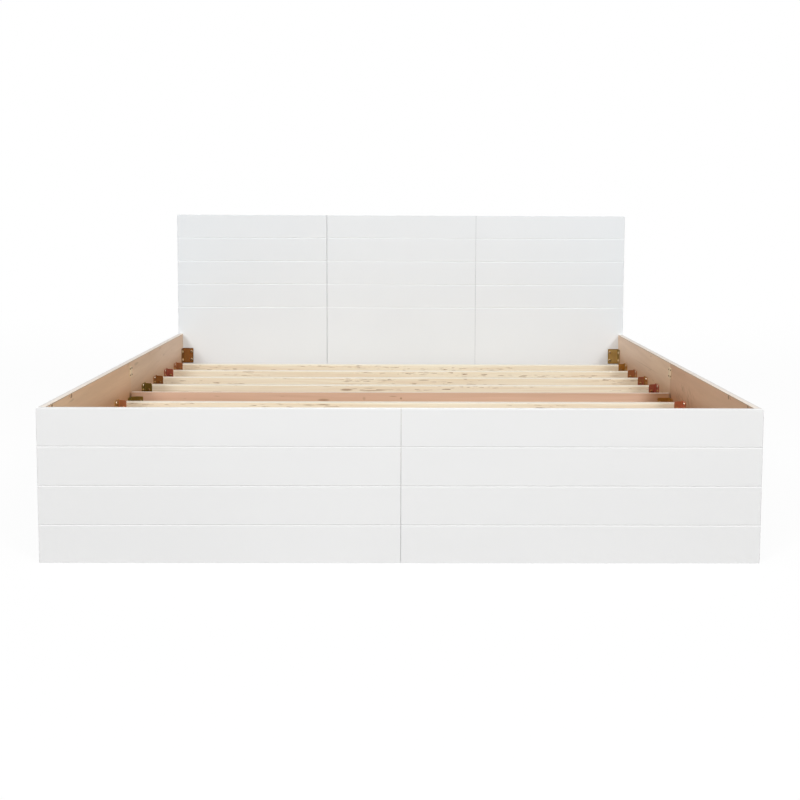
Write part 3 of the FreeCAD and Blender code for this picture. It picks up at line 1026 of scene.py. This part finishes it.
class BED_OT_drive_corner_screws(bpy.types.Operator):
    """Drive the screws of the corner and partition brackets"""

    bl_idname = "storage_bed.drive_corner_screws"
    bl_label = "Drive Corner Screws"

    def execute(self, context):
        screws, steel = context.scene.bed_screws, context.scene.bed_steel
        # Painted highlight: the head corners' screws get the brighter copy
        bright = plain_steel("Corner Screw Zinc", steel, steel.screw)
        darker = plain_steel("Partition Screw Zinc", steel, steel.slat_screw)
        half = screws.corner_height / 2
        for end in ("head_corner", "foot_corner", "partition"):
            material, size = (bright, screws.corner_scale) if end == "head_corner" else (darker, 1.0)
            for side_name, side in SIDES:
                low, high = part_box("%s_brackets_%s" % (end, side_name))
                board_faces = {
                    "head_corner": [(high.y, -1)],
                    "foot_corner": [(low.y, 1)],
                    "partition": [(-BOARD / 2, -1), (BOARD / 2, 1)],
                }[end]
                places = []
                for board_y, facing in board_faces:
                    for middle in (low.z + half, high.z - half):
                        places += corner_screw_places(side, board_y, facing, middle, screws)
                screw_set(
                    "%s_screws_%s" % (end, side_name), places, screws, material, size)
        return {"FINISHED"}


class BED_OT_drive_plate_screws(bpy.types.Operator):
    """Drive the dark screws of the joint plates"""

    bl_idname = "storage_bed.drive_plate_screws"
    bl_label = "Drive Plate Screws"

    def execute(self, context):
        screws, steel = context.scene.bed_screws, context.scene.bed_steel
        material = plain_steel("Dark Screw", steel, steel.plate_screw)
        for side_name, side in SIDES:
            low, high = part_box("rail_joint_plate_" + side_name)
            face_x = low.x if side > 0 else high.x
            centre = Vector((face_x, (low.y + high.y) / 2, (low.z + high.z) / 2))
            places = plate_screw_places(centre, Vector((0, 1, 0)), Vector((-side, 0, 0)), screws)
            screw_set(
                "rail_plate_screws_" + side_name, places, screws, material,
                screws.plate_scale)
        self.column("footboard_", "", 2, 0.0, screws, material, screws.plate_scale)
        sunk = screws.head_height * screws.sunk_scale + screws.sunk_depth
        for side_name, side in SIDES:
            self.column("headboard_", "_" + side_name, 3, sunk, screws, material, screws.sunk_scale)
        return {"FINISHED"}

    def column(self, board, end, count, sunk, screws, material, size):
        """Screws of a column of plates that face the head end, evenly spaced up the board."""
        low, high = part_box(board + "joint_plates" + end)
        first, last = low.z + screws.plate_height / 2, high.z - screws.plate_height / 2
        places = []
        for k in range(count):
            z = first + (last - first) * k / (count - 1)
            centre = Vector(((low.x + high.x) / 2, high.y - sunk, z))
            places += plate_screw_places(centre, Vector((1, 0, 0)), Vector((0, 1, 0)), screws)
        screw_set(board + "plate_screws" + end, places, screws, material, size)


class BED_OT_set_studio(bpy.types.Operator):
    """Lay the pale floor and set the lights and the camera"""

    bl_idname = "storage_bed.set_studio"
    bl_label = "Set Studio"

    def execute(self, context):
        studio = context.scene.bed_studio
        self.lay_floor(studio)
        self.light(context, studio)
        self.aim_camera(context, studio)
        context.scene.view_settings.view_transform = "Standard"
        return {"FINISHED"}

    def lay_floor(self, studio):
        """Pale floor that the camera sees almost white, and wholly white far from the bed."""
        bm = bmesh.new()
        bmesh.ops.create_grid(bm, x_segments=1, y_segments=1, size=studio.floor_size / 2)
        floor = placed("studio_floor", finished(bm, "studio_floor"))
        material, recipe, place = new_material("Studio Floor")
        seen = seen_by_eye(recipe)
        far = recipe.ramp(recipe.distance(place), studio.glow_start, studio.glow_end)
        whitened = recipe.both(seen, recipe.spread(far, studio.floor_glow, 1.0))
        matt = recipe.node(
            "ShaderNodeBsdfPrincipled",
            {"Base Color": recipe.mix(seen, studio.floor, WHITE),
             "Roughness": studio.floor_roughness, "Specular IOR Level": 0.0})
        glow = recipe.node("ShaderNodeEmission", {"Color": WHITE, "Strength": 1.0})
        both = recipe.fed("ShaderNodeMixShader", (whitened, matt.outputs[0], glow.outputs[0]))
        recipe.node("ShaderNodeOutputMaterial", {"Surface": both})
        floor.data.materials.append(material)

    def light(self, context, studio):
        """Even white surroundings and four soft lights."""
        world = bpy.data.worlds.new("Studio White")
        world.use_nodes = True
        world.node_tree.nodes.clear()
        recipe = Recipe(world.node_tree)
        strength = recipe.spread(seen_by_eye(recipe), studio.sky, 1.0)
        background = recipe.node("ShaderNodeBackground", {"Color": WHITE, "Strength": strength})
        recipe.node("ShaderNodeOutputWorld", {"Surface": background.outputs[0]})
        context.scene.world = world
        self.softbox("Top Light", studio.top_power, studio.top_place, studio.top_size)
        x, y, z = studio.side_place
        for side_name, side in SIDES:
            self.softbox(
                side_name.title() + " Light", studio.side_power, (side * x, y, z), studio.side_size)
        self.softbox("Back Light", studio.back_power, studio.back_place, studio.back_size)

    def softbox(self, name, power, place, size):
        """Square area light that looks at the middle of the bed."""
        lamp = bpy.data.lights.new(name, "AREA")
        lamp.energy = power
        lamp.size = size
        lamp_object = placed(name, lamp)
        aim = Vector((0.0, 0.0, SLAT_TOP)) - Vector(place)
        lamp_object.location = place
        lamp_object.rotation_euler = aim.to_track_quat("-Z", "Y").to_euler()

    def aim_camera(self, context, studio):
        camera = bpy.data.cameras.new("Camera")
        camera.lens = studio.lens
        camera.shift_x = studio.shift_x
        camera.shift_y = studio.shift_y
        camera_object = placed("Camera", camera)
        turn = (
            Matrix.Rotation(-studio.yaw, 4, "Z")
            @ Matrix.Rotation(math.radians(90.0) - studio.pitch, 4, "X")
            @ Matrix.Rotation(studio.roll, 4, "Z")
        )
        camera_object.matrix_world = Matrix.Translation(studio.eye) @ turn
        context.scene.camera = camera_object


class BED_PT_panel(bpy.types.Panel):
    """Steps that finish the bed, in order"""

    bl_idname = "BED_PT_panel"
    bl_label = "Storage Bed"
    bl_space_type = "VIEW_3D"
    bl_region_type = "UI"
    bl_category = "Storage Bed"

    def draw(self, context):
        for operator in STEPS:
            self.layout.operator(operator.bl_idname)


STEPS = (
    BED_OT_paint_panels,
    BED_OT_face_rails,
    BED_OT_finish_slats,
    BED_OT_finish_partition,
    BED_OT_finish_floor,
    BED_OT_plate_brackets,
    BED_OT_drive_slat_screws,
    BED_OT_drive_corner_screws,
    BED_OT_drive_plate_screws,
    BED_OT_set_studio,
)
SETTINGS = {
    "bed_paint": BED_PG_paint,
    "bed_timber": BED_PG_timber,
    "bed_steel": BED_PG_steel,
    "bed_screws": BED_PG_screws,
    "bed_studio": BED_PG_studio,
}


def register():
    for group in SETTINGS.values():
        bpy.utils.register_class(group)
    for name, group in SETTINGS.items():
        setattr(bpy.types.Scene, name, PointerProperty(type=group))
    for operator in STEPS:
        bpy.utils.register_class(operator)
    bpy.utils.register_class(BED_PT_panel)


def unregister():
    bpy.utils.unregister_class(BED_PT_panel)
    for operator in reversed(STEPS):
        bpy.utils.unregister_class(operator)
    for name in SETTINGS:
        delattr(bpy.types.Scene, name)
    for group in reversed(list(SETTINGS.values())):
        bpy.utils.unregister_class(group)


def main():
    register()
    for operator in STEPS:
        family, step = operator.bl_idname.split(".")
        getattr(getattr(bpy.ops, family), step)()


if __name__ == "__main__":
    main()
